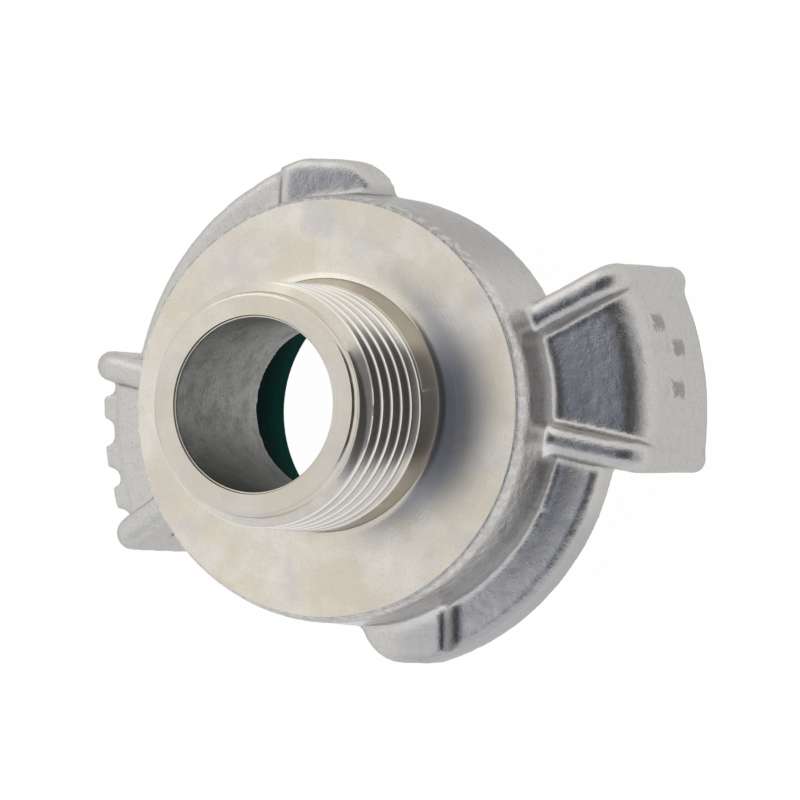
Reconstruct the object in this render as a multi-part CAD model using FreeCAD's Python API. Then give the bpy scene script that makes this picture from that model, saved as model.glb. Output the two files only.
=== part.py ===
import FreeCAD, Part
import math
import os

V = FreeCAD.Vector

# Claw coupling half with a male pipe thread, spigot up, standing on its claw ends.
# The bore axis is Z, the claws lie along X, and z = 0 is the plane of the claw ends.
# All sizes are in millimetres and all angles in degrees.

# heights above the claw ends
mating_face_z = 12.1
flange_thickness = 3.6
disc_face_z = 23.7
spigot_length = 13.45

# hub
disc_face_radius = 17.9
hub_edge_drop = 1.8
hub_edge_crown = 0.16
hub_radius = 18.5
hub_draft = 0.4
cavity_floor_thickness = 2.1

# spigot with an R 1/2 taper thread
bore_radius = 7.2
bore_mouth_chamfer = 0.2
thread_gauge_radius = 20.955 / 2.0
thread_gauge_length = 8.16
thread_taper = 1.0 / 16.0
thread_pitch = 1.814
thread_depth = 1.162
thread_flank_angle = 27.5
thread_crest_drop = 1.58
thread_start_radius = 9.05
thread_length = 10.8
thread_run_out = 2.0
thread_run_out_depth = 0.52
collar_radius = 10.95
collar_root_radius = 0.25

# seal and the cavity that holds it
cavity_radius = 15.0
groove_radius = 16.3
groove_top_drop = 3.2
groove_height = 3.6
seal_bore_radius = 7.6
seal_lip_inner_radius = 11.1
seal_lip_outer_radius = 13.6
seal_lip_stand = 3.6
seal_lip_round = 0.6
seal_front_radius = 14.6
seal_lip_root_stand = 0.4

# cam flanges, one clockwise of each claw
flange_radius = 23.0
flange_top_round = 1.1
flange_bottom_round = 0.4
flange_root_fillet = 0.35
flange_end_angle = 98.4
other_end_angle = 100.7
flange_end_reach = 22.05
flange_start_inset = 2.0
flange_end_past = 1.0
flange_end_lean = 14.0
flange_corner_radius = 4.0
stop_length = 10.2
stop_height = 1.2
stop_slope = 50.0
stop_top_slope = 8.0
stop_joint_overlap = 0.6
stop_section_run = 40.0

# claws
claw_half_angle = 20.4
claw_wall_radius = 26.35
claw_wall_thickness = 2.75
claw_bend_radius = 3.0
claw_side_flare = 2.3
web_root_z = 16.1
web_slope = 13.0
web_underside_z = 12.6
nose_inner_radius = 20.0
nose_height = 3.2
nose_chamfer = 0.6
inner_corner_radius = 1.2

# ribs along both sides of each claw
rib_root_z = 18.7
rib_slope = 13.0
rib_bend_radius = 3.0
rib_top_radius = 27.2
rib_end_radius = 26.5
flared_rib_end_radius = 27.0
rib_width = 2.75
rib_round = 1.3
pocket_radius = 18.3
pocket_root_fillet = 0.85
pocket_head_z = 21.1

# raised marks cast on the outside of the claws
mark_height = 0.4
mark_round = 0.3
bar_width = 2.2
bar_length = 6.4
bar_z = 11.0
bar_angles = (-8.9, 0.8, 9.2)
pip_width = 1.1
pip_length = 2.4
pip_angles = (-4.1, 4.0, 8.6)
pip_heights = (7.4, 6.0, 9.6)

# how far a cutter or a block passes the faces that it cuts or joins
margin = 1.0
deep_margin = 5.0
near = 0.01

spigot_end_z = disc_face_z + spigot_length
thread_foot_z = spigot_end_z - thread_length
flange_top_z = mating_face_z + flange_thickness
cavity_floor_z = disc_face_z - cavity_floor_thickness
skirt_radius = hub_radius + hub_draft
inside_hub_radius = (groove_radius + skirt_radius) / 2.0


def point(radius, z):
    return V(radius, 0, z)


def outline(items):
    """Closed wire from points; a pair of points is an arc through the first."""
    edges = []
    here = items[0]
    for item in items[1:] + [items[0]]:
        if isinstance(item, tuple):
            edges.append(Part.Arc(here, item[0], item[1]).toShape())
            here = item[1]
        else:
            edges.append(Part.makeLine(here, item))
            here = item
    return Part.Wire(edges)


def turned(items, angle=360.0, start=0.0):
    """Solid swept about Z by an outline, through an angle from a start angle."""
    solid = Part.Face(outline(items)).revolve(V(0, 0, 0), V(0, 0, 1), angle)
    solid.rotate(V(0, 0, 0), V(0, 0, 1), start)
    return solid


def rounded(before, at, after, radius):
    """Rounded corner as the arc's start, then the pair that draws the arc."""
    back = V(before).sub(at).normalize()
    ahead = V(after).sub(at).normalize()
    half = back.getAngle(ahead) / 2.0
    middle = back.add(ahead).normalize()
    reach = radius / math.tan(half)
    crown = radius / math.sin(half) - radius
    start = V(at).add(V(back).multiply(reach))
    end = V(at).add(V(ahead).multiply(reach))
    return [start, (V(at).add(V(middle).multiply(crown)), end)]


def pair(shape):
    """The shape and its copy half a turn round the bore axis."""
    other = shape.copy()
    other.rotate(V(0, 0, 0), V(0, 0, 1), 180)
    return [shape, other]


def thread_radius(z):
    """Crest radius of the taper thread at a height."""
    from_end = spigot_end_z - z
    return thread_gauge_radius + (from_end - thread_gauge_length) * thread_taper / 2.0


def make_hub():
    """Hub and its conical collar, before the bore and the seal cavity are cut."""
    face_edge = point(disc_face_radius, disc_face_z)
    side_edge = point(hub_radius, disc_face_z - hub_edge_drop)
    outward = V(hub_edge_drop, 0, hub_radius - disc_face_radius).normalize()
    edge_mid = V(face_edge).add(side_edge).multiply(0.5).add(outward.multiply(hub_edge_crown))
    collar_foot = point(collar_radius, disc_face_z)
    collar_top = point(thread_radius(thread_foot_z), thread_foot_z)
    return turned([
        point(0, mating_face_z),
        point(0, thread_foot_z),
        collar_top,
    ] + rounded(collar_top, collar_foot, face_edge, collar_root_radius) + [
        face_edge,
        (edge_mid, side_edge),
        point(skirt_radius, flange_top_z),
        point(skirt_radius, mating_face_z),
    ])


def make_thread_groove():
    """Right-hand helical groove of the taper thread, past both ends of the spigot."""
    slope = math.tan(math.radians(thread_flank_angle))
    truncation = (thread_pitch / 2.0 / slope - thread_depth) / 2.0
    start_z = spigot_end_z - thread_crest_drop + 1.5 * thread_pitch
    root = thread_radius(start_z) - thread_depth
    mouth = thread_radius(start_z) + truncation / 2.0
    root_half = truncation * slope
    mouth_half = root_half + (mouth - root) * slope
    section = Part.makePolygon([
        point(root, -root_half),
        point(root, root_half),
        point(mouth, mouth_half),
        point(mouth, -mouth_half),
        point(root, -root_half),
    ])
    cone_angle = math.degrees(math.atan(thread_taper / 2.0))
    length = start_z - thread_foot_z + thread_pitch / 2.0
    helix = Part.makeLongHelix(thread_pitch, length, root, cone_angle)
    groove = Part.Wire(helix.Edges).makePipeShell([section], True, True)
    groove.rotate(V(0, 0, 0), V(1, 0, 0), 180)
    groove.translate(V(0, 0, start_z))
    return groove


def run_out_radius(z):
    """Radius of the cone that fills the thread groove towards the collar."""
    slope = (thread_depth - thread_run_out_depth) / thread_run_out
    return thread_radius(z) - thread_run_out_depth - (z - thread_foot_z) * slope


def make_spigot():
    """Threaded cone that stands on the collar, its groove fading out at the foot."""
    foot_z = thread_foot_z - margin / 2.0
    fill_z = thread_foot_z + thread_run_out + margin / 2.0
    bevel_z = spigot_end_z - (thread_radius(spigot_end_z) - thread_start_radius)
    blank = turned([
        point(0, foot_z),
        point(0, spigot_end_z),
        point(thread_start_radius, spigot_end_z),
        point(thread_radius(bevel_z), bevel_z),
        point(thread_radius(foot_z), foot_z),
    ])
    fill = turned([
        point(0, foot_z),
        point(0, fill_z),
        point(run_out_radius(fill_z), fill_z),
        point(run_out_radius(foot_z), foot_z),
    ])
    return blank.cut(make_thread_groove()).fuse(fill)


def flange_section(top_z):
    """Section of a cam flange with rounded edges and a root fillet."""
    inner = point(inside_hub_radius, mating_face_z)
    low = point(flange_radius, mating_face_z)
    high = point(flange_radius, top_z)
    root = point(skirt_radius, top_z)
    above = point(skirt_radius, top_z + margin)
    fillet = rounded(high, root, above, flange_root_fillet)
    return [inner] + rounded(inner, low, high, flange_bottom_round) + rounded(
        low, high, root, flange_top_round
    ) + fillet + [point(inside_hub_radius, fillet[1][1].z)]


def flange_end_space(end_angle):
    """Block that bounds the free end of a flange and its stop, turned to its angle."""
    low = mating_face_z - margin
    stop_z = flange_top_z + stop_height
    foot_y = stop_length - flange_end_past
    step_y = foot_y - stop_height / math.tan(math.radians(stop_slope))
    tip_z = stop_z - (step_y + flange_end_past) * math.tan(math.radians(stop_top_slope))
    lean = math.tan(math.radians(flange_end_lean))
    corners = [
        V(0, (low - mating_face_z) * lean - flange_end_past, low),
        V(0, (tip_z - mating_face_z) * lean - flange_end_past, tip_z),
        V(0, step_y, stop_z),
        V(0, foot_y, flange_top_z),
        V(0, foot_y, low),
    ]
    block = Part.Face(Part.makePolygon(corners + corners[:1])).extrude(
        V(flange_end_reach, 0, 0)
    )
    corner = [
        edge for edge in block.Edges
        if edge.BoundBox.XMin > flange_end_reach - near
        and edge.BoundBox.ZLength > margin
        and edge.BoundBox.YMax < step_y - margin
    ]
    block = block.makeFillet(flange_corner_radius, corner)
    rim = [
        edge for edge in block.Edges
        if edge.BoundBox.ZMin > tip_z - near
        and edge.BoundBox.XMax > flange_end_reach / 2.0
        and edge.BoundBox.YMin < step_y - margin
        and edge.BoundBox.YLength + edge.BoundBox.XLength > margin / 2.0
    ]
    block = block.makeFillet(flange_top_round, rim)
    block.rotate(V(0, 0, 0), V(0, 0, 1), -end_angle)
    return block


def make_flange(end_angle):
    """Cam flange clockwise of the +X claw, with a raised stop at its free end."""
    start = claw_half_angle - flange_start_inset
    overlap = stop_length - flange_end_past - stop_joint_overlap
    stop_angle = math.degrees(math.asin(overlap / flange_radius))
    run = end_angle - stop_angle - start
    plain = turned(flange_section(flange_top_z), run, stop_angle - end_angle)
    raised = turned(
        flange_section(flange_top_z + stop_height),
        stop_section_run,
        -end_angle - stop_section_run / 4.0,
    )
    return plain.fuse(raised.common(flange_end_space(end_angle)))


def web_z(root_z, slope, radius):
    """Height of a claw's sloping back at a radius."""
    return root_z - (radius - skirt_radius) * math.tan(math.radians(slope))


def claw_section(root_z, slope, bend, top_radius, end_radius):
    """Section of a claw whose back and wall are given, with its hook inside."""
    inside = claw_wall_radius - claw_wall_thickness
    root = point(inside_hub_radius, web_z(root_z, slope, inside_hub_radius))
    shoulder = point(top_radius, web_z(root_z, slope, top_radius))
    foot = point(end_radius, 0)
    under = point(inside_hub_radius, web_underside_z)
    under_corner = point(inside, web_underside_z)
    nose_corner = point(inside, nose_height)
    tip_high = point(nose_inner_radius, nose_height)
    tip_low = point(nose_inner_radius, 0)
    return [root] + rounded(root, shoulder, foot, bend) + [foot] + rounded(
        foot, tip_low, tip_high, nose_chamfer
    ) + [tip_high] + rounded(
        tip_high, nose_corner, under_corner, inner_corner_radius / 2.0
    ) + rounded(nose_corner, under_corner, under, inner_corner_radius) + [under]


def rib_edges(rib):
    """Edges that run along a rib's back and outer wall."""
    found = []
    for edge in rib.Edges:
        ends = [vertex.Point for vertex in edge.Vertexes]
        spans = [(math.hypot(end.x, end.y), end.z) for end in ends]
        runs = len(spans) == 2 and math.dist(spans[0], spans[1]) > margin / 2.0
        middle = edge.CenterOfMass
        radius = math.hypot(middle.x, middle.y)
        on_back = middle.z > web_underside_z + margin and radius > inside_hub_radius + margin
        on_wall = radius > (claw_wall_radius + claw_wall_radius - rib_width) / 2.0 and middle.z > margin
        if runs and (on_back or on_wall):
            found.append(edge)
    return found


def make_rib(side, flare, end_radius):
    """Rib bar along one side of the +X claw, through the claw's full depth."""
    section = claw_section(
        rib_root_z, rib_slope, rib_bend_radius, rib_top_radius, end_radius
    )
    block = turned(section, 4.0 * claw_half_angle, -2.0 * claw_half_angle)
    far = rib_top_radius + deep_margin
    slab = Part.makeBox(
        far, rib_width, spigot_end_z, V(0, -rib_width if side > 0 else 0, -deep_margin)
    )
    slab.rotate(V(0, 0, web_root_z), V(1, 0, 0), side * flare)
    slab.rotate(V(0, 0, 0), V(0, 0, 1), side * claw_half_angle)
    rib = block.common(slab)
    return rib.makeFillet(rib_round, rib_edges(rib))


def make_claw():
    """The +X claw: a bent plate with its hook, and a rib along each side."""
    section = claw_section(
        web_root_z, web_slope, claw_bend_radius, claw_wall_radius, claw_wall_radius
    )
    inset = math.degrees(rib_width / 2.0 / claw_wall_radius)
    half = claw_half_angle - inset
    plate = turned(section, 2.0 * half, -half)
    flared = make_rib(1, claw_side_flare, flared_rib_end_radius)
    return plate.fuse([flared, make_rib(-1, 0.0, rib_end_radius)])


def make_pocket():
    """Space between the ribs of the +X claw, down to the web, with a root fillet."""
    head = point(pocket_radius, pocket_head_z)
    root = point(pocket_radius, web_z(web_root_z, web_slope, pocket_radius))
    shoulder = point(claw_wall_radius, web_z(web_root_z, web_slope, claw_wall_radius))
    section = [head] + rounded(head, root, shoulder, pocket_root_fillet) + [
        shoulder,
        point(claw_wall_radius, pocket_head_z),
    ]
    space = turned(section, 4.0 * claw_half_angle, -2.0 * claw_half_angle)
    for side in (-1, 1):
        slab = Part.makeBox(
            2.0 * flange_radius,
            2.0 * flange_radius,
            spigot_end_z,
            V(0, -rib_width if side > 0 else rib_width - 2.0 * flange_radius, -deep_margin),
        )
        slab.rotate(V(0, 0, 0), V(0, 0, 1), side * claw_half_angle)
        space = space.cut(slab)
    return space


def make_mark(width, length, middle_z, angle):
    """Raised mark on the wall of the +X claw, sunk half way into the wall."""
    sunk = claw_wall_thickness / 2.0
    mark = Part.makeBox(
        sunk + mark_height,
        width,
        length,
        V(claw_wall_radius - sunk, -width / 2.0, middle_z - length / 2.0),
    )
    outer = [edge for edge in mark.Edges if edge.CenterOfMass.x > claw_wall_radius]
    mark = mark.makeFillet(mark_round, outer)
    mark.rotate(V(0, 0, 0), V(0, 0, 1), angle)
    return mark


def make_marks():
    """Bars on the -X claw and pips on the +X claw."""
    bars = [make_mark(bar_width, bar_length, bar_z, angle + 180.0) for angle in bar_angles]
    pips = [
        make_mark(pip_width, pip_length, height, angle)
        for height, angle in zip(pip_heights, pip_angles)
    ]
    return bars + pips


def cavity_items():
    """Section of the space the seal fills inside the hub, without its lip."""
    groove_top = cavity_floor_z - groove_top_drop
    groove_bottom = groove_top - groove_height
    return [
        point(cavity_radius, cavity_floor_z),
        point(cavity_radius, groove_top),
        point(groove_radius, groove_top),
        point(groove_radius, groove_bottom),
        point(cavity_radius, groove_bottom),
    ]


def make_body():
    """The whole casting: hub, spigot, cam flanges and claws in one piece."""
    other_flange = make_flange(other_end_angle)
    other_flange.rotate(V(0, 0, 0), V(0, 0, 1), 180)
    body = make_hub().fuse([make_spigot(), make_flange(flange_end_angle), other_flange])
    body = body.cut(pair(make_pocket()))
    body = body.fuse(pair(make_claw()) + make_marks())
    bore = Part.makeCylinder(bore_radius, spigot_end_z + margin)
    mouth = Part.makeCone(
        bore_radius,
        bore_radius + bore_mouth_chamfer,
        bore_mouth_chamfer,
        V(0, 0, spigot_end_z - bore_mouth_chamfer),
    )
    cavity = turned([point(0, mating_face_z - margin), point(0, cavity_floor_z)]
                    + cavity_items() + [point(cavity_radius, mating_face_z - margin)])
    return body.cut([bore, mouth, cavity]).removeSplitter()


def make_seal():
    """Moulded seal ring: a bead in the groove and a flared lip at the front."""
    lip_z = mating_face_z - seal_lip_stand
    lip_root_z = mating_face_z - seal_lip_root_stand
    bore_top = point(seal_bore_radius, cavity_floor_z)
    lip_in = point(seal_lip_inner_radius, lip_z)
    lip_out = point(seal_lip_outer_radius, lip_z)
    lip_root = point(seal_front_radius, lip_root_z)
    front = point(cavity_radius, mating_face_z)
    return turned(
        [bore_top] + cavity_items() + [front, lip_root]
        + rounded(lip_root, lip_out, lip_in, seal_lip_round)
        + rounded(lip_out, lip_in, bore_top, seal_lip_round)
    )


os.makedirs("parts", exist_ok=True)
make_body().exportStep("parts/coupling_body.step")
make_seal().exportStep("parts/seal_ring.step")
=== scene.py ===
import math

import bmesh
import bpy
from mathutils import Matrix, Vector, noise


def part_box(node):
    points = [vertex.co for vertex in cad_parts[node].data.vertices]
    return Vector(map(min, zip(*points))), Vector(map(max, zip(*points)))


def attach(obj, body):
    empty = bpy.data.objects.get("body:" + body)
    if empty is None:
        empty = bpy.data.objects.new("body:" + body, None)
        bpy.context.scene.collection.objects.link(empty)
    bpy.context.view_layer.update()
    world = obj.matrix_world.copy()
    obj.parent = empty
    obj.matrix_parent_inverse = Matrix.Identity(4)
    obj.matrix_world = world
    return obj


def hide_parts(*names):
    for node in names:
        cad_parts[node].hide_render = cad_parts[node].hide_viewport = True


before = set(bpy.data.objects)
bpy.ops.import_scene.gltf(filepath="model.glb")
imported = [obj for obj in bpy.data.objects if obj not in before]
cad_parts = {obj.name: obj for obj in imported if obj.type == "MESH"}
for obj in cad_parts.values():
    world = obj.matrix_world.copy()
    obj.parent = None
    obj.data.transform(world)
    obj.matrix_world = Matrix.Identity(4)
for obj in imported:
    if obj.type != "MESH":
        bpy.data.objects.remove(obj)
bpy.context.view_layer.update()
mm = 0.001
up = Vector((0, 0, 1))

tolerance = {
    # millimetres
    "cut": 0.0001,
    "weld": 0.0005,  # copies of one point become one
    "near": 0.001,  # the same for the ends of turns, and how level a rim is
}


# shader sockets as numbers

class Wire:
    def __init__(self, board, socket):
        self.board = board
        self.socket = socket

    def calc(self, operation, left, right):
        return self.board.add("ShaderNodeMath", {"operation": operation}, {0: left, 1: right})

    def __add__(self, other):
        return self.calc("ADD", self, other)

    def __radd__(self, other):
        return self.calc("ADD", other, self)

    def __sub__(self, other):
        return self.calc("SUBTRACT", self, other)

    def __rsub__(self, other):
        return self.calc("SUBTRACT", other, self)

    def __mul__(self, other):
        return self.calc("MULTIPLY", self, other)

    def __rmul__(self, other):
        return self.calc("MULTIPLY", other, self)

    def __truediv__(self, other):
        return self.calc("DIVIDE", self, other)

    def __pow__(self, other):
        return self.calc("POWER", self, other)


class Board:
    # one node tree, with the few calls that the materials below need
    def __init__(self, tree):
        self.tree = tree
        tree.nodes.clear()

    def add(self, kind, settings, inputs, output=0):
        node = self.tree.nodes.new(kind)
        for name, value in settings.items():
            if name == "stops":
                ramp = node.color_ramp.elements
                while len(ramp) < len(value):
                    ramp.new(0.5)
                for element, (place, colour) in zip(ramp, value):
                    element.position = place
                    element.color = colour
            else:
                setattr(node, name, value)
        for name, value in inputs.items():
            if isinstance(value, Wire):
                self.tree.links.new(value.socket, node.inputs[name])
            else:
                node.inputs[name].default_value = value
        return Wire(self, node.outputs[output])

    def mix(self, factor, first, second):
        return self.add("ShaderNodeMix", {"data_type": "RGBA"}, {0: factor, 6: first, 7: second}, 2)

    def layer(self, colour, stains):
        # stains laid over a colour one after the other, each a factor and the name of its colour
        for factor, name in stains:
            colour = self.mix(factor, colour, colours[name])
        return colour

    def bump(self, height):
        return self.add("ShaderNodeBump", {}, {"Strength": 1.0, "Distance": mm, "Height": height})

    def fade(self, value, start, end):
        return self.add("ShaderNodeMapRange", {"interpolation_type": "SMOOTHSTEP"},
                        {0: value, 1: start, 2: end, 3: 0.0, 4: 1.0})

    def stain(self, value, levels):
        # the two levels between which it fades in, and its strength
        start, end, strength = levels
        return self.fade(value, start, end) * strength

    def band(self, value, start, end, soft):
        return self.fade(value, start - soft, start) * (1 - self.fade(value, end, end + soft))

    def choose(self, factor, first, second):
        # a value between two others
        return first + (second - first) * factor

    def join(self, x, y, z):
        return self.add("ShaderNodeCombineXYZ", {}, {0: x, 1: y, 2: z})

    def noise(self, place, pattern):
        # a pattern is a scale, detail and roughness, and how far off it is taken
        scale, detail, rough, off = pattern
        place = self.add("ShaderNodeVectorMath", {"operation": "ADD"}, {0: place, 1: (off,) * 3})
        return self.add("ShaderNodeTexNoise", {}, {"Vector": place, "Scale": scale,
                                                   "Detail": detail, "Roughness": rough})

    def finish(self, kind, shader):
        output = self.tree.nodes.new(kind)
        self.tree.links.new(shader.socket, output.inputs[0])

    def steelOrRubber(self, inputs):
        self.finish("ShaderNodeOutputMaterial", self.add("ShaderNodeBsdfPrincipled", {}, inputs))

    def places(self):
        # position in millimetres, and its parts
        spot = self.add("ShaderNodeTexCoord", {}, {}, "Object")
        spot = self.add("ShaderNodeVectorMath", {"operation": "SCALE"}, {0: spot, "Scale": 1000.0})
        x, y, z = (self.add("ShaderNodeSeparateXYZ", {}, {0: spot}, axis) for axis in range(3))
        flat = self.add("ShaderNodeCombineXYZ", {}, {0: x, 1: y})
        radius = self.add("ShaderNodeVectorMath", {"operation": "LENGTH"}, {0: flat}, "Value")
        return spot, x, y, z, radius


def newMaterial(name):
    material = bpy.data.materials.new(name)
    material.use_nodes = True
    return material, Board(material.node_tree)


# the casting: turned parts and a cut thread above, softened cast skin from the solids below

thread = {
    "pitch": 1.814,
    "depth": 0.97,
    "halfAngle": 27.5,
    "crestFlat": 0.1,
    "crestRounding": 0.36,
    "rootRounding": 0.249,
    "arcSteps": 4,
    "turnSteps": 192,
    "gaugeRadius": 10.4775,
    "gaugeLength": 8.16,
    "taper": 1 / 16,
    # how far the end face's edge, the first land and the first crest lie from the end, and radii
    "startShape": ((0, 9.05), (0.14, 9.26), (0.8, 9.42), (1.6, 10.3)),
    "startSteps": 14,
    "length": 10.8,
    "footHeight": 26.35,
    "crestHeight": 35.57,  # height of one crest above the claw ends, on the +X side
    "runOut": 2.0,  # height over which the groove fades out at the collar
    "runOutDepth": 0.45,
    "boreRadius": 7.2,
    "clearance": 0.002,  # how far the end face stays inside the solid's box
    "sharpAngle": 32,  # edges of the turned parts that are sharper stay hard
    # a steep bevel, a narrow ledge and a bevel at the mouth: added radius and depth
    "mouthShape": ((0.24, 0), (0.15, 0.17), (0.06, 0.18), (0, 0.4)),
}

face = {
    # radius, height and share of the collar's shift, from the thread's foot out to the disc's edge
    "rings": ((10.58, 26.3, 0), (10.82, 24.5, 1), (10.9, 24.32, 1), (11.05, 24.22, 1),
              (11.5, 24.09, 0.95), (12.2, 23.95, 0.85), (13.1, 23.83, 0.6), (14.2, 23.755, 0.35),
              (15.4, 23.715, 0.1), (16.6, 23.7, 0), (17.9, 23.7, 0), (17.93, 23.64, 0)),
    "jointRadius": 17.94,  # where the turned parts meet the cast skin
    "shift": (0.3, 0.2),  # the collar stands a little off the bore axis
    "mergeDistance": 0.06,
}

# radius that the line of the crests would have at the claw ends
thread["crestRadius"] = (thread["gaugeRadius"] + (thread["footHeight"] + thread["length"]
                         - thread["gaugeLength"]) * thread["taper"] / 2)

skin = {
    "discHeight": 23.7,
    "upTo": 23.6,  # height below which the casting has its cast skin
    "jointGap": 0.02,
    "stretch": 1.5,  # the copy is this much longer at both ends, so that the cut edges stay full
    "voxel": 0.32,
    "softSteps": 2,
    "softFactor": 0.5,
    "boreMargin": 0.5,  # rims at the bore lie within this of its radius
    "waveLength": 2.4,
    "waveDepth": 0.06,
    "pitLength": 0.8,
    "pitDepth": 0.05,
}


def threadProfile(bm, bottom, top):
    # a line of whole turns in the XZ plane, longer than the thread at both ends
    t = thread
    half = math.radians(t["halfAngle"])
    leans = [(math.pi / 2 - half) * step / t["arcSteps"]
             for step in range(-t["arcSteps"], t["arcSteps"] + 1)]
    turn = []
    for lean in leans:
        along = t["crestRounding"] * math.sin(lean) + math.copysign(t["crestFlat"] / 2, lean)
        turn.append((along, t["crestRounding"] * (1 - math.cos(lean))))
    for lean in leans:
        along = t["pitch"] / 2 + t["rootRounding"] * math.sin(lean)
        turn.append((along, t["depth"] - t["rootRounding"] * (1 - math.cos(lean))))
    first = t["crestHeight"] - t["pitch"] * math.ceil((t["crestHeight"] - bottom) / t["pitch"] + 1)
    count = math.ceil((top - first) / t["pitch"]) + 2
    verts = []
    for number in range(count):
        for along, down in turn:
            height = first + number * t["pitch"] + along
            verts.append(bm.verts.new((t["gaugeRadius"] - down, 0, height)))
    edges = [bm.edges.new(pair) for pair in zip(verts, verts[1:])]
    return verts + edges


def startLimit(fromEnd):
    # largest radius near the spigot's end
    for (near, small), (far, large) in zip(thread["startShape"], thread["startShape"][1:]):
        if fromEnd <= far:
            return small + (large - small) * (fromEnd - near) / (far - near)
    return math.inf


def cutThread(bottom, top):
    t = thread
    bm = bmesh.new()
    line = threadProfile(bm, bottom, top)
    bmesh.ops.spin(bm, geom=line, cent=(0, 0, 0), axis=up, angle=2 * math.pi,
                   dvec=(0, 0, t["pitch"] / t["turnSteps"]), steps=t["turnSteps"])
    bmesh.ops.remove_doubles(bm, verts=bm.verts, dist=tolerance["near"])
    keepSide(bm, bottom, 1)
    keepSide(bm, top, -1)
    for step in range(t["startSteps"]):
        height = top - t["startShape"][-1][0] * (step + 1) / t["startSteps"]
        bmesh.ops.bisect_plane(bm, geom=bm.verts[:] + bm.edges[:] + bm.faces[:],
                               dist=tolerance["cut"], plane_co=(0, 0, height), plane_no=up)
    for vert in bm.verts:
        flat = vert.co.xy
        fromEnd = top - vert.co.z
        crest = t["gaugeRadius"] + (fromEnd - t["gaugeLength"]) * t["taper"] / 2
        kept = min(1, (vert.co.z - bottom) / t["runOut"])
        deep = (t["gaugeRadius"] - flat.length) * (t["runOutDepth"] + (1 - t["runOutDepth"]) * kept)
        flat = flat.normalized() * min(crest - deep, startLimit(fromEnd))
        vert.co.x, vert.co.y = flat
    return bm


def level(vert, height):
    return abs(vert.co.z - height) < tolerance["near"]


def rimEdges(bm, height):
    return [edge for edge in bm.edges if edge.is_boundary
            and all(level(vert, height) for vert in edge.verts)]


def growRings(bm, height, rings):
    # carry the open rim at a height on through rings of a radius and height, some off centre
    rim = [vert for vert in bm.verts if vert.is_boundary and level(vert, height)]
    bmesh.ops.remove_doubles(bm, verts=rim, dist=face["mergeDistance"])
    last = Vector((0, 0))
    for radius, nextHeight, share in rings:
        axis = Vector(face["shift"]) * share
        made = bmesh.ops.extrude_edge_only(bm, edges=rimEdges(bm, height))["geom"]
        verts = [part for part in made if isinstance(part, bmesh.types.BMVert)]
        for vert in verts:
            flat = (vert.co.xy - last).normalized() * radius + axis
            vert.co = (flat.x, flat.y, nextHeight)
        bmesh.ops.remove_doubles(bm, verts=verts, dist=face["mergeDistance"])
        height = nextHeight
        last = axis


def keepSide(bm, height, side):
    # cut across at a height and keep what lies above it, or below it for a side of -1
    bmesh.ops.bisect_plane(bm, geom=bm.verts[:] + bm.edges[:] + bm.faces[:],
                           dist=tolerance["cut"], plane_co=(0, 0, height),
                           plane_no=(0, 0, -side), clear_outer=True)


def takeMesh(bm, other):
    spare = bpy.data.meshes.new("spare")
    other.to_mesh(spare)
    other.free()
    bm.from_mesh(spare)
    bpy.data.meshes.remove(spare)


def castSkinMesh(solid):
    # the whole solid as an even net of small faces, its edges softened and its skin made uneven
    longer = solid.copy()
    nearEnd = skin["voxel"] / 10
    for vert in longer.verts:
        if vert.co.z > skin["discHeight"] - nearEnd:
            vert.co.z += skin["stretch"]
        elif vert.co.z < nearEnd:
            vert.co.z -= skin["stretch"]
    mesh = bpy.data.meshes.new("spare")
    longer.to_mesh(mesh)
    longer.free()
    spare = bpy.data.objects.new("spare", mesh)
    bpy.context.collection.objects.link(spare)
    remesh = spare.modifiers.new("remesh", "REMESH")
    remesh.mode = "VOXEL"
    remesh.voxel_size = skin["voxel"]
    even = bpy.data.meshes.new_from_object(
        spare.evaluated_get(bpy.context.evaluated_depsgraph_get()))
    bm = bmesh.new()
    bm.from_mesh(even)
    bpy.data.objects.remove(spare)
    for used in (mesh, even):
        bpy.data.meshes.remove(used)
    for step in range(skin["softSteps"]):
        bmesh.ops.smooth_vert(bm, verts=bm.verts, factor=skin["softFactor"], use_axis_x=True,
                              use_axis_y=True, use_axis_z=True)
    bm.normal_update()
    for vert in bm.verts:
        sink = (0.5 + 0.5 * noise.noise(vert.co / skin["waveLength"])) * skin["waveDepth"]
        sink += max(0, noise.noise(vert.co / skin["pitLength"])) * skin["pitDepth"]
        vert.co -= vert.normal * sink * min(1, max(0, (skin["upTo"] - vert.co.z) / skin["voxel"]))
    keepSide(bm, skin["upTo"], -1)
    keepSide(bm, 0, 1)
    bmesh.ops.holes_fill(bm, edges=rimEdges(bm, 0), sides=0)
    return bm


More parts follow.
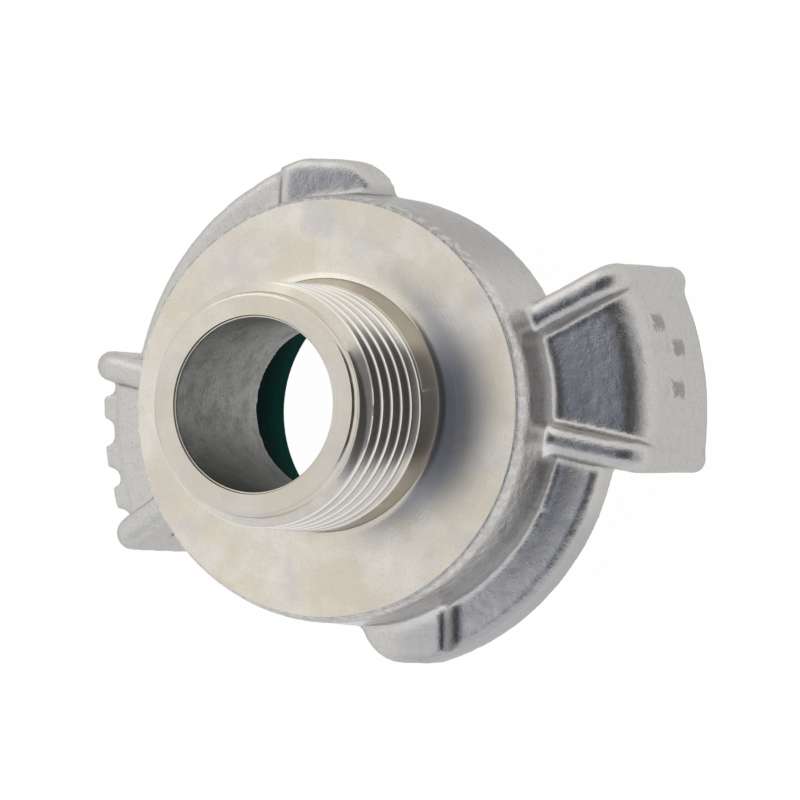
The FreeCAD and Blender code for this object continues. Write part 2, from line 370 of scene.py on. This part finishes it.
def makeCasting():
    # the thread goes up from its foot, and the rings out from there meet the skin at the disc's rim
    t = thread
    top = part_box("coupling_body")[1].z / mm - t["clearance"]
    bottom = top - t["length"]
    solid = bmesh.new()
    solid.from_mesh(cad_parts["coupling_body"].data)
    bmesh.ops.scale(solid, vec=(1 / mm,) * 3, verts=solid.verts)
    bmesh.ops.remove_doubles(solid, verts=solid.verts, dist=tolerance["weld"])
    bm = castSkinMesh(solid)
    solid.free()
    spigot = cutThread(bottom, top)
    joint = skin["upTo"] + skin["jointGap"]
    mouth = [(t["boreRadius"] + wider, top - down, 0) for wider, down in t["mouthShape"]]
    growRings(spigot, top, mouth + [(t["boreRadius"], joint, 0)])
    growRings(spigot, bottom, face["rings"] + ((face["jointRadius"], joint, 0),))
    takeMesh(bm, spigot)
    rims = rimEdges(bm, skin["upTo"]) + rimEdges(bm, joint)
    limit = t["boreRadius"] + skin["boreMargin"]
    atBore = [edge for edge in rims if edge.verts[0].co.xy.length < limit]
    atDisc = [edge for edge in rims if edge.verts[0].co.xy.length >= limit]
    for pair in (atBore, atDisc):
        bmesh.ops.bridge_loops(bm, edges=pair)
    bmesh.ops.remove_doubles(bm, verts=bm.verts, dist=tolerance["weld"])
    bmesh.ops.recalc_face_normals(bm, faces=bm.faces)
    bmesh.ops.scale(bm, vec=(mm,) * 3, verts=bm.verts)
    return bm


def finishPiece(name, bm, material):
    for side in bm.faces:
        side.smooth = True
    for edge in bm.edges:
        isTurned = edge.verts[0].co.z > skin["upTo"] * mm
        isSharp = edge.calc_face_angle(0) >= math.radians(thread["sharpAngle"])
        edge.smooth = not (isTurned and isSharp)
    mesh = bpy.data.meshes.new(name)
    bm.to_mesh(mesh)
    bm.free()
    mesh.materials.append(material)
    piece = bpy.data.objects.new(name, mesh)
    bpy.context.collection.objects.link(piece)
    weigh = piece.modifiers.new("weigh", "WEIGHTED_NORMAL")
    weigh.keep_sharp = True
    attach(piece, "root")
    return piece


# materials: the skins' patterns go to noise() above, and their threes of numbers to stain()

colours = {
    "cream": (0.71, 0.67, 0.595, 1),  # turned faces
    "straw": (0.66, 0.6, 0.49, 1),
    "pale": (0.8, 0.775, 0.73, 1),
    # painted shade of the collar on the disc
    "shade": (0.16, 0.15, 0.145, 1),
    "violet": (0.57, 0.545, 0.545, 1),
    # painted shade on the collar and on the end face
    "brownPaintedShade": (0.56, 0.52, 0.46, 1),
    # painted shade in the thread's grooves; below it a painted highlight on the crests, also used
    # for real wear at the disc's rim
    "groove": (0.42, 0.41, 0.4, 1),
    "crest": (0.87, 0.85, 0.81, 1),
    "cast": (0.595, 0.577, 0.55, 1),  # blasted skin
    "castDull": (0.47, 0.46, 0.45, 1),
    # real pits, and painted shade on the hub's side
    "castPitAndShade": (0.3, 0.295, 0.29, 1),
    "hubPaintedLight": (0.84, 0.82, 0.8, 1),
    # painted shade on one side of a flange's rim
    "rimPaintedShade": (0.4, 0.4, 0.415, 1),
    # dark dirt, and painted shade at the disc's rim and round the cast marks
    "dirtAndShade": (0.25, 0.24, 0.23, 1),
    "bore": (0.5, 0.495, 0.475, 1),
    "boreDull": (0.27, 0.27, 0.26, 1),
    # dark pits, and painted shade on the bore's low side
    "borePitAndShade": (0.11, 0.11, 0.1, 1),
    "grazing": (0.8, 0.8, 0.8, 1),  # how strongly the steel reflects along its surface
}

turned = {
    "from": 23.66,  # height where the turned faces begin
    "fromSoft": 0.03,
    "streaks": (1.0, 3.0, 0.55, 0.0),
    "streakSize": (3.2, 1.4),  # across the rings, and along them
    "clouds": (0.13, 4.0, 0.6, 0.0),  # patches of about 8 mm
    "haze": (0.3, 5.0, 0.6, 31.0),
    "grain": (5.5, 3.0, 0.65, 13.0),
    "strawClouds": (0.42, 0.6, 0.8),
    "paleClouds": (0.47, 0.33, 0.35),
    "violetHaze": (0.5, 0.7, 0.4),
    "paleHaze": (0.46, 0.3, 0.3),
    "violetStreaks": (0.5, 0.8, 0.2),
    "dullGrain": (0.5, 0.7, 0.35),
    # x, y, size, strength of stains on the disc
    "violetBlots": ((1.7, 16.4, 1.9, 0.6), (-5.3, 13.7, 2.4, 0.3), (-1.5, 9.8, 1.6, 0.25)),
    "strawBlots": ((-0.4, -15.9, 3.0, 0.8), (11.2, -9.6, 2.4, 0.6), (-7.2, -12.0, 1.6, 0.5),
                   (11.0, 9.6, 3.0, 0.6), (7.6, 14.6, 2.0, 0.5)),
    "fray": (0.55, 4.0, 0.55, 0.0),
    "frayDepth": 3.2,
    "blotEdge": (0.72, 1.12),  # shares of its size between which a stain fades out
    "roughness": 0.22,
    "hazeRoughness": 0.12,
    "streakRoughness": 0.03,
    "ringPitch": 0.34,
    "ringWander": 5.0,
    "ringHeight": 0.0008,
    "grainHeight": 0.0012,
}

foot = {
    # painted shade and reflection: the disc is darker at the collar's foot on one side, as in the
    # photograph
    "radii": (12.0, 17.2),
    "wander": 2.0,
    "heights": (24.1, 24.3),
    "side": (0.974, -0.225),
    "sideReach": (0.78, 1.0),
    "strength": 0.8,
}

# painted shade: the collar is browner, standing in for the thread's shade and reflection on it
collar = {"heights": (24.35, 26.35), "soft": 0.05, "radii": (10.5, 10.6), "strength": 0.8}


def blots(board, spot, x, y, places):
    # soft round stains with uneven edges
    fray = (board.noise(spot, turned["fray"]) - 0.5) * turned["frayDepth"]
    inner, outer = turned["blotEdge"]
    total = 0.0
    for across, along, size, strength in places:
        away = ((x - across) ** 2 + (y - along) ** 2) ** 0.5 + fray
        total = total + (1 - board.fade(away, size * inner, size * outer)) * strength
    return total


def footPaintedShade(board, x, y, z, radius, haze):
    # painted shade and reflection of the collar, on one side of the disc
    across, along = face["shift"]
    away = ((x - across) ** 2 + (y - along) ** 2) ** 0.5
    near = 1 - board.fade(away + (haze - 0.5) * foot["wander"], *foot["radii"])
    onDisc = 1 - board.fade(z, *foot["heights"])
    onSide = board.fade((x * foot["side"][0] + y * foot["side"][1]) / radius, *foot["sideReach"])
    return near * onDisc * onSide * foot["strength"]


def turnedSkin(board, spot, x, y, z, radius):
    # cream satin with faint stains and turning rings
    wide, long = turned["streakSize"]
    rings = board.join(radius * wide, x / radius * long, y / radius * long)
    streaks = board.noise(rings, turned["streaks"])
    clouds = board.noise(spot, turned["clouds"])
    haze = board.noise(spot, turned["haze"])
    grain = board.noise(spot, turned["grain"])
    collarShadeMask = board.band(z, *collar["heights"], collar["soft"])
    collarShadeMask = collarShadeMask * board.fade(radius, *collar["radii"])
    stains = (
        (board.stain(clouds, turned["strawClouds"]), "straw"),
        (board.stain(clouds, turned["paleClouds"]), "pale"),
        (board.stain(haze, turned["violetHaze"]), "violet"),
        (blots(board, spot, x, y, turned["strawBlots"]), "straw"),
        (blots(board, spot, x, y, turned["violetBlots"]), "violet"),
        (footPaintedShade(board, x, y, z, radius, haze), "shade"),
        (collarShadeMask * collar["strength"], "brownPaintedShade"),
        (board.stain(streaks, turned["violetStreaks"]), "violet"),
        (board.stain(grain, turned["dullGrain"]), "castDull"),
        (board.stain(haze, turned["paleHaze"]), "pale"),
    )
    colour = board.layer(colours["cream"], stains)
    roughness = turned["roughness"] + (haze - 0.5) * turned["hazeRoughness"]
    roughness = roughness + (streaks - 0.5) * turned["streakRoughness"]
    phase = (radius + z) * (2 * math.pi / turned["ringPitch"]) + haze * turned["ringWander"]
    rings = board.add("ShaderNodeMath", {"operation": "SINE"}, {0: phase})
    height = rings * streaks * turned["ringHeight"] + grain * turned["grainHeight"]
    return colour, roughness, height


cast = {
    "grain": (5.5, 3.0, 0.65, 0.0),  # grains of about 0.18 mm
    "waves": (1.6, 2.0, 0.55, 17.0),
    "patches": (1.1, 4.0, 0.65, 5.0),
    "dullGrain": (0.6, 0.4, 0.35),
    "dullPatches": (0.5, 0.72, 0.5),
    "pits": (0.4, 0.3, 0.6),
    "hubRadii": (18.6, 20.4),  # where the hub's side ends
    "hubPaleHeights": (17.0, 21.0),  # painted light: the hub's side is paler here, as in the photograph
    "hubPaleSoft": 1.6,
    "hubPaleSide": (2.0, 7.0),  # and only up to this Y
    "hubPaleStrength": 0.85,
    "hubPaintedShade": (0.42, 0.68, 0.55),  # painted shade: towards the high Y the hub's side is darker
    "rimRadii": (19.0, 20.5),  # painted shade: the rim of one flange is darker on one side too
    "rimSide": (0.5, -0.87),
    "rimPaintedShade": (0.85, 0.93, 0.6),
    "wornFrom": 22.6,
    "wornSoft": 0.5,
    "worn": (0.45, 0.6, 0.35),
    "roughness": 0.28,
    "patchRoughness": 0.16,
    "grainHeight": 0.026,
    "waveHeight": 0.03,
}


def castSkin(board, spot, x, y, z, radius):
    # blasted grain over slow waves
    grain = board.noise(spot, cast["grain"])
    waves = board.noise(spot, cast["waves"])
    patches = board.noise(spot, cast["patches"])
    onHub = 1 - board.fade(radius, *cast["hubRadii"])
    # painted light on the hub's side, low down
    low = onHub * board.band(z, *cast["hubPaleHeights"], cast["hubPaleSoft"])
    low = low * (1 - board.fade(y, *cast["hubPaleSide"])) * cast["hubPaleStrength"]
    onFlange = board.fade(radius, *cast["rimRadii"])
    side = (x * cast["rimSide"][0] + y * cast["rimSide"][1]) / radius
    nearDisc = board.band(z, cast["wornFrom"], turned["from"], cast["wornSoft"])
    stains = (
        (board.stain(grain, cast["dullGrain"]), "castDull"),
        (board.stain(patches, cast["dullPatches"]), "castDull"),
        (board.stain(grain, cast["pits"]), "castPitAndShade"),
        (low, "hubPaintedLight"),
        (onHub * board.stain(y / radius, cast["hubPaintedShade"]), "castPitAndShade"),
        (onFlange * board.stain(side, cast["rimPaintedShade"]), "rimPaintedShade"),
        (nearDisc * board.stain(waves, cast["worn"]), "crest"),
    )
    colour = board.layer(colours["cast"], stains)
    roughness = cast["roughness"] + (patches - 0.5) * cast["patchRoughness"]
    height = grain * cast["grainHeight"] + waves * cast["waveHeight"]
    return colour, roughness, height


bore = {
    "grain": (2.6, 3.0, 0.65, 9.0),
    "patches": (0.5, 4.0, 0.6, 3.0),
    "pits": (5.0, 2.0, 0.55, 21.0),
    "dullGrain": (0.45, 0.7, 0.5),
    "dullPatches": (0.45, 0.65, 0.4),
    "darkPits": (0.36, 0.26, 1.0),
    "lowSideShade": (2.0, -6.5, 0.95),  # painted shade: darker towards the low Y
    "edge": (0.05, 0.1),  # how far past the bore's radius it fades out
    "roughness": 0.5,
    "patchRoughness": 0.15,
    "grainHeight": 0.03,
}


def boreSkin(board, spot, y):
    # as cast inside, coarser and darker
    grain = board.noise(spot, bore["grain"])
    patches = board.noise(spot, bore["patches"])
    pits = board.noise(spot, bore["pits"])
    stains = (
        (board.stain(grain, bore["dullGrain"]), "boreDull"),
        (board.stain(patches, bore["dullPatches"]), "boreDull"),
        (board.stain(pits, bore["darkPits"]), "borePitAndShade"),
        (board.stain(y, bore["lowSideShade"]), "borePitAndShade"),
    )
    colour = board.layer(colours["bore"], stains)
    roughness = bore["roughness"] + (patches - 0.5) * bore["patchRoughness"]
    return colour, roughness, grain * bore["grainHeight"]


cut = {
    # painted highlight on the crests and painted shade in the grooves and on the end face: depths
    # below the line of the crests, and below the end face
    "crest": (0.08, 0.2),
    "crestHighlightStrength": 0.9,
    "groove": (0.4, 0.9),
    "grooveStrength": 0.5,
    "grooveStart": (1.7, 1.4),
    "footSoft": 0.1,
    "end": (0.08, 0.02),
    "endLitSide": (2.0, 8.0, 0.8),  # painted light: the end face is paler towards the high Y
    "endShadeStrength": 0.5,
}


def threadPaintedLight(board, y, z, radius):
    # painted shade in the grooves and on the end face, and painted highlight on the crests of the
    # thread
    end = thread["footHeight"] + thread["length"]
    deep = thread["crestRadius"] - z * (thread["taper"] / 2) - radius
    onThread = board.fade(z, thread["footHeight"], thread["footHeight"] + cut["footSoft"])
    crestHighlightMask = (1 - board.fade(deep, *cut["crest"])) * onThread
    belowStart = 1 - board.fade(z, *(end - down for down in cut["grooveStart"]))
    grooves = onThread * board.fade(deep, *cut["groove"]) * belowStart
    # painted shade on the end face, lighter on its high Y side
    endFaceShade = board.fade(z, *(end - down for down in cut["end"]))
    endFaceShade = endFaceShade * (1 - board.stain(y, cut["endLitSide"]))
    return (
        (grooves * cut["grooveStrength"], "groove"),
        (crestHighlightMask * cut["crestHighlightStrength"], "crest"),
        (endFaceShade * cut["endShadeStrength"], "brownPaintedShade"),
    )


rimLine = {
    # thin dark line along the joint where the disc meets the cast skin, kept on one side only as
    # painted shade
    "reach": 0.03,
    "soft": 0.02,
    "side": (6.0, 14.0),
    "gaps": (0.9, 3.0, 0.55, 0.0),
    "stain": (0.35, 0.6, 0.8),
}


def rimShadeLine(board, spot, x, z):
    line = board.band(z, turned["from"] - rimLine["reach"], turned["from"], rimLine["soft"])
    gaps = board.stain(board.noise(spot, rimLine["gaps"]), rimLine["stain"])
    return line * board.fade(x, *rimLine["side"]) * gaps


pips = {
    # angle round the bore in degrees, and height, of the three cast marks on one claw
    "places": ((-4.1, 7.4), (4.0, 6.0), (8.6, 9.6)),
    "half": (0.55, 1.2),
    "wallRadius": 26.35,
    "fray": (2.2, 3.0, 0.55, 0.0),
    "frayDepth": 1.4,
    "edge": (-0.1, 0.3),
    "depth": (1.2, 0.6),  # how far inside the wall the dirt and painted shade fade out
    "strength": 0.8,
}


def pipDirtAndShade(board, spot, x, y, z):
    # dark dirt and painted shade of their crevices, on and round the marks
    angle = board.add("ShaderNodeMath", {"operation": "ARCTAN2"}, {0: y, 1: x})
    fray = (board.noise(spot, pips["fray"]) - 0.5) * pips["frayDepth"]
    total = 0.0
    for degrees, height in pips["places"]:
        aside = (angle - math.radians(degrees)) * pips["wallRadius"]
        outside = [((place ** 2) ** 0.5) - half
                   for place, half in zip((aside, z - height), pips["half"])]
        far = board.add("ShaderNodeMath", {"operation": "MAXIMUM"}, {0: outside[0], 1: outside[1]})
        total = total + (1 - board.fade(far + fray, *pips["edge"]))
    onWall = board.fade(x, *(pips["wallRadius"] - inside for inside in pips["depth"]))
    return total * onWall * pips["strength"]


def castSteel():
    # three skins: turned, cast, and the bore's
    material, board = newMaterial("castSteel")
    spot, x, y, z, radius = board.places()
    turnedColour, turnedRough, turnedHeight = turnedSkin(board, spot, x, y, z, radius)
    castColour, castRough, castHeight = castSkin(board, spot, x, y, z, radius)
    boreColour, boreRough, boreHeight = boreSkin(board, spot, y)
    turnedColour = board.layer(turnedColour, threadPaintedLight(board, y, z, radius))
    isTurned = board.fade(z, turned["from"], turned["from"] + turned["fromSoft"])
    isBore = 1 - board.fade(radius, *(thread["boreRadius"] + wider for wider in bore["edge"]))
    colour = board.mix(isTurned, castColour, turnedColour)
    dirtAndShade = ((rimShadeLine(board, spot, x, z), "dirtAndShade"), (pipDirtAndShade(board, spot, x, y, z), "dirtAndShade"))
    colour = board.mix(isBore, board.layer(colour, dirtAndShade), boreColour)
    roughness = board.choose(isTurned, castRough, turnedRough)
    height = board.choose(isTurned, castHeight, turnedHeight)
    board.steelOrRubber({"Base Color": colour, "Metallic": 1.0,
                         "Roughness": board.choose(isBore, roughness, boreRough),
                         "Specular Tint": colours["grazing"],
                         "Normal": board.bump(board.choose(isBore, height, boreHeight))})
    return material


rubber = {
    "colour": (0.0, 0.038, 0.032, 1),
    # for the bloom, and for the painted light towards the lip
    "pale": (0.0, 0.11, 0.09, 1),
    "bloom": (0.8, 4.0, 0.6, 0.0),
    "fine": (6.0, 2.0, 0.55, 0.0),
    "paleBloom": (0.45, 0.75, 0.5),
    "lipPaintedLight": (12.0, 19.0),  # painted light: paler towards the lip
    "lipPaintedLightStrength": 0.5,
    "roughness": 0.8,
    "bloomRoughness": 0.15,
    "gloss": 0.02,
    "fineHeight": 0.006,
    "bloomHeight": 0.02,
}


def sealRubber():
    # smooth moulded rubber with a faint bloom
    material, board = newMaterial("sealRubber")
    spot, x, y, z, radius = board.places()
    bloom = board.noise(spot, rubber["bloom"])
    fine = board.noise(spot, rubber["fine"])
    # painted light: paler towards the lip
    lipLight = (1 - board.fade(z, *rubber["lipPaintedLight"])) * rubber["lipPaintedLightStrength"]
    pale = board.stain(bloom, rubber["paleBloom"]) + lipLight
    height = fine * rubber["fineHeight"] + bloom * rubber["bloomHeight"]
    board.steelOrRubber({"Base Color": board.mix(pale, rubber["colour"], rubber["pale"]),
                         "Roughness": rubber["roughness"] + bloom * rubber["bloomRoughness"],
                         "Specular IOR Level": rubber["gloss"], "Normal": board.bump(height)})
    return material


casting = finishPiece("castBody", makeCasting(), castSteel())
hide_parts("coupling_body")
print("casting made,", len(casting.data.polygons), "faces")

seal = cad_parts["seal_ring"]
seal.data.materials.clear()
seal.data.materials.append(sealRubber())
print("seal finished")


# camera, at the photograph's viewing angle

camera = {
    "place": (145.56, -28.04, 333.02),
    "turn": (1.458, 24.469, -7.796),
    "lens": 180,
    "sensor": 36,
    "clip": (0.01, 10),  # metres
}


def makeCamera():
    data = bpy.data.cameras.new("camera")
    data.lens = camera["lens"]
    data.sensor_width = camera["sensor"]
    data.clip_start, data.clip_end = camera["clip"]
    holder = bpy.data.objects.new("camera", data)
    holder.location = Vector(camera["place"]) * mm
    holder.rotation_euler = [math.radians(angle) for angle in camera["turn"]]
    bpy.context.collection.objects.link(holder)
    bpy.context.scene.camera = holder


makeCamera()


# studio: pale floor, soft lamps, a dark flag on the camera's side

studio = {
    "turn": -8.4,  # the camera's sideways direction, seen from above
    "floorSize": 3.0,
    "floorDrop": 0.02,  # millimetres, so that it stays clear of the claw ends
    "floorColour": (0.85, 0.85, 0.85, 1),
    "floorSeen": 0.985,  # share of plain white that the camera gets from the floor
    "floorReflected": 0.82,
    "worldLight": 0.75,
    "worldLow": (0.8, 0.82, 0.88, 1),  # what the metal reflects from the side of the low Y
    "worldLowReach": (-0.9, -0.2),
    "flagRadius": 0.5,
    "flagEnds": (-0.38, 0.44),
    "flagSteps": 48,
    "flagTaper": 0.2,  # how much sooner its overhead part ends at the high Y
    "flagTaperReach": (2.0, 14.0),  # degrees from overhead
    "flagEdge": 0.15,
    # angle from overhead towards the camera's side, and colour there
    "flagStops": ((-18, (1, 1, 1, 1)), (-12, (0.33, 0.37, 0.46, 1)), (6, (0.29, 0.33, 0.44, 1)),
                  (14, (0.05, 0.052, 0.062, 1)), (46, (0.052, 0.052, 0.056, 1)),
                  (59, (0.24, 0.243, 0.26, 1)), (71, (0.47, 0.48, 0.52, 1)),
                  (84, (0.64, 0.648, 0.68, 1)), (96, (0.86, 0.86, 0.88, 1))),
    "lampDirection": (-0.35, 0.9, 0.5),
    "lampDistance": 0.7,
    "lampSize": 0.5,
    "lampPower": 0.3,  # watts
}


def lightPath(board, *rays):
    # 1 for the named kinds of ray, 0 for the rest
    return [board.add("ShaderNodeLightPath", {}, {}, "Is %s Ray" % ray) for ray in rays]


def addMesh(name, bm, material):
    mesh = bpy.data.meshes.new(name)
    bm.to_mesh(mesh)
    bm.free()
    mesh.materials.append(material)
    thing = bpy.data.objects.new(name, mesh)
    bpy.context.collection.objects.link(thing)
    return thing


def makeWorld():
    # white to the camera and in reflections, a little less as light
    world = bpy.data.worlds.new("studio")
    world.use_nodes = True
    board = Board(world.node_tree)
    camera, glossy, through = lightPath(board, "Camera", "Glossy", "Transmission")
    shown = camera + glossy + through
    strength = studio["worldLight"] + shown * (1 - studio["worldLight"])
    way = board.add("ShaderNodeTexCoord", {}, {}, "Generated")
    across = board.add("ShaderNodeSeparateXYZ", {}, {0: way}, 1)
    low = 1 - board.fade(across, *studio["worldLowReach"])
    colour = board.mix(low * glossy, (1, 1, 1, 1), studio["worldLow"])
    back = board.add("ShaderNodeBackground", {}, {0: colour, 1: strength})
    board.finish("ShaderNodeOutputWorld", back)
    bpy.context.scene.world = world


def makeFloor():
    bm = bmesh.new()
    bmesh.ops.create_grid(bm, x_segments=1, y_segments=1, size=studio["floorSize"] / 2)
    material, board = newMaterial("paleFloor")
    camera, glossy, through = lightPath(board, "Camera", "Glossy", "Transmission")
    plain = board.add("ShaderNodeBsdfDiffuse", {}, {0: studio["floorColour"]})
    white = board.add("ShaderNodeEmission", {}, {0: (1, 1, 1, 1), 1: 1.0})
    share = (camera + through) * studio["floorSeen"] + glossy * studio["floorReflected"]
    board.finish("ShaderNodeOutputMaterial",
                 board.add("ShaderNodeMixShader", {}, {0: share, 1: plain, 2: white}))
    floor = addMesh("floor", bm, material)
    floor.location.z = -studio["floorDrop"] * mm


def makeFlag():
    # curved dark board on the camera's side, seen only in the metal
    bm = bmesh.new()
    stops = studio["flagStops"]
    start, end = (stops[place][0] for place in (0, -1))
    corners = [bm.verts.new((0, side, studio["flagRadius"])) for side in studio["flagEnds"]]
    rail = bm.edges.new(corners)
    bmesh.ops.rotate(bm, verts=corners, matrix=Matrix.Rotation(math.radians(start), 3, "Y"))
    bmesh.ops.spin(bm, geom=corners + [rail], cent=(0, 0, 0), axis=(0, 1, 0),
                   steps=studio["flagSteps"], angle=math.radians(end - start))
    material, board = newMaterial("flagBoard")
    spot, x, y, z, radius = board.places()
    angle = board.add("ShaderNodeMath", {"operation": "ARCTAN2"}, {0: x, 1: z})
    degrees = angle * (180 / math.pi)
    place = (degrees - start) / (end - start)
    shade = board.add("ShaderNodeValToRGB", {"stops": [((at - start) / (end - start), colour)
                                                       for at, colour in stops]}, {0: place})
    low, high = (side / mm for side in studio["flagEnds"])
    edge = studio["flagEdge"] / mm
    overhead = 1 - board.fade(degrees, *studio["flagTaperReach"])
    top = high - overhead * (studio["flagTaper"] / mm)
    inside = board.fade(y, low, low + edge) * (1 - board.fade(y - top, -edge, 0.0))
    shade = board.mix(inside, (1, 1, 1, 1), shade)
    board.finish("ShaderNodeOutputMaterial",
                 board.add("ShaderNodeEmission", {}, {0: shade, 1: 1.0}))
    flag = addMesh("flag", bm, material)
    flag.rotation_euler.z = math.radians(studio["turn"])
    flag.visible_camera = False
    flag.visible_shadow = False
    flag.visible_diffuse = False


def makeLamp():
    data = bpy.data.lights.new("softLamp", "AREA")
    data.size = studio["lampSize"]
    data.energy = studio["lampPower"]
    lamp = bpy.data.objects.new("softLamp", data)
    direction = Vector(studio["lampDirection"]).normalized()
    lamp.location = direction * studio["lampDistance"]
    lamp.rotation_euler = direction.to_track_quat("Z", "Y").to_euler()
    bpy.context.collection.objects.link(lamp)


bpy.context.scene.view_settings.view_transform = "Standard"
makeWorld()
makeFloor()
makeFlag()
makeLamp()
print("studio made")
